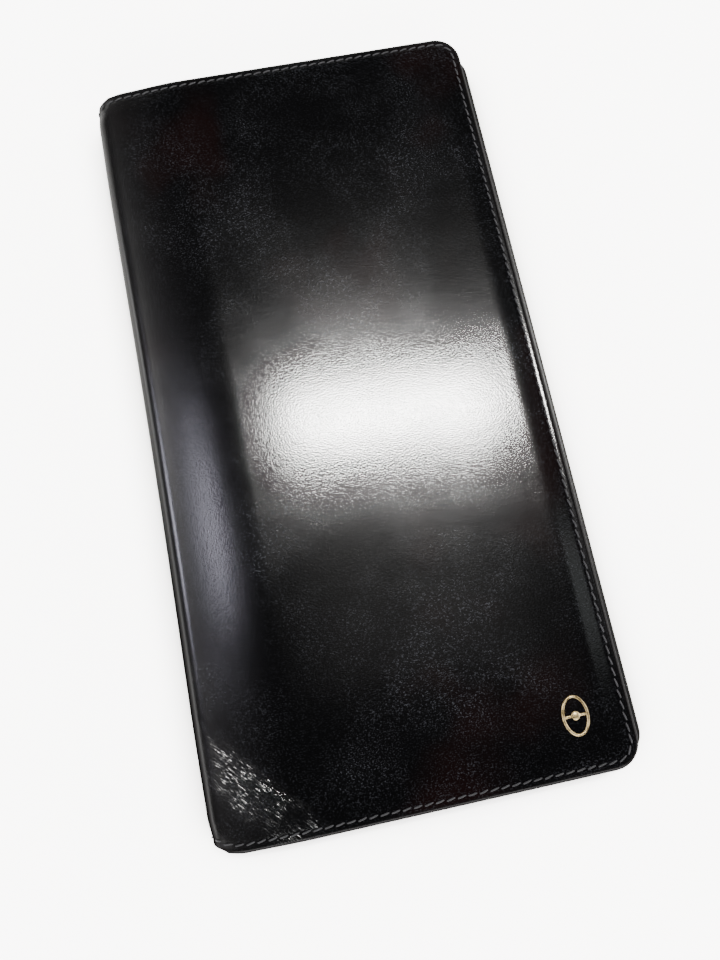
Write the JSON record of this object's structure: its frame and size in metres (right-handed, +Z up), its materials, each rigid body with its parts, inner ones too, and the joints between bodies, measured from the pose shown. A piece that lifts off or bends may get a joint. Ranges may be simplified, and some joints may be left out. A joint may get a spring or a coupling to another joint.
{
  "type": "long bifold wallet",
  "caption": "Slim long wallet in glossy calf leather that folds flat along its spine, with card pockets and full-length compartments inside.",
  "frame": {"origin": "on the resting face of the back cover, in the middle of the closed wallet's outline", "axes": "+X from the spine to the free edge, +Y along the spine away from the emblem's end, +Z up through the front cover"},
  "size_m": [0.0944, 0.177, 0.0119],
  "materials": {
    "outer_leather": "glossy smooth calf, fine grain",
    "pocket_leather": "satin",
    "lining_fabric": "fine ribbed weave",
    "cover_padding": "matte felt",
    "stiffener_board": "matte bonded fibre board",
    "sewing_thread": "waxed thread with a slight sheen",
    "gilt_metal": "pale antique gilt",
    "plate_metal": "matte"
  },
  "bodies": {
    "back_cover": {"back_cover_leather": "outer_leather", "back_cover_padding": "cover_padding", "back_cover_board": "stiffener_board", "back_lining": "lining_fabric", "bill_pocket_backing": "lining_fabric", "bill_pocket_panel": "pocket_leather", "ticket_pocket_panel": "pocket_leather", "back_seam_thread": "sewing_thread"},
    "spine": {"spine_leather": "outer_leather", "spine_tape": "stiffener_board", "spine_lining": "lining_fabric", "spine_seam_thread": "sewing_thread"},
    "front_cover": {"front_cover_leather": "outer_leather", "front_cover_padding": "cover_padding", "front_cover_board": "stiffener_board", "front_lining": "lining_fabric", "slip_pocket_backing": "lining_fabric", "slip_pocket_panel": "pocket_leather", "card_pocket_row_1": "pocket_leather", "card_pocket_row_2": "pocket_leather", "card_pocket_row_3": "pocket_leather", "card_pocket_row_4": "pocket_leather", "card_pocket_backing_1": "lining_fabric", "card_pocket_backing_2": "lining_fabric", "card_pocket_backing_3": "lining_fabric", "card_column_thread": "sewing_thread", "front_seam_thread": "sewing_thread", "oval_emblem": "gilt_metal", "emblem_backing_plate": "plate_metal"}
  },
  "joints": [
    {"name": "back_fold", "type": "hinge", "parent": "back_cover", "child": "spine", "pos_m": [-0.04614, 0, 0.00111], "axis": [0, -1, 0], "range_deg": [0, 90]},
    {"name": "front_fold", "type": "hinge", "parent": "spine", "child": "front_cover", "pos_m": [-0.04614, 0, 0.01059], "axis": [0, -1, 0], "range_deg": [0, 90]}
  ],
  "couplings": [
    {"joint": "front_fold", "follows": "back_fold", "ratio": 1}
  ]
}
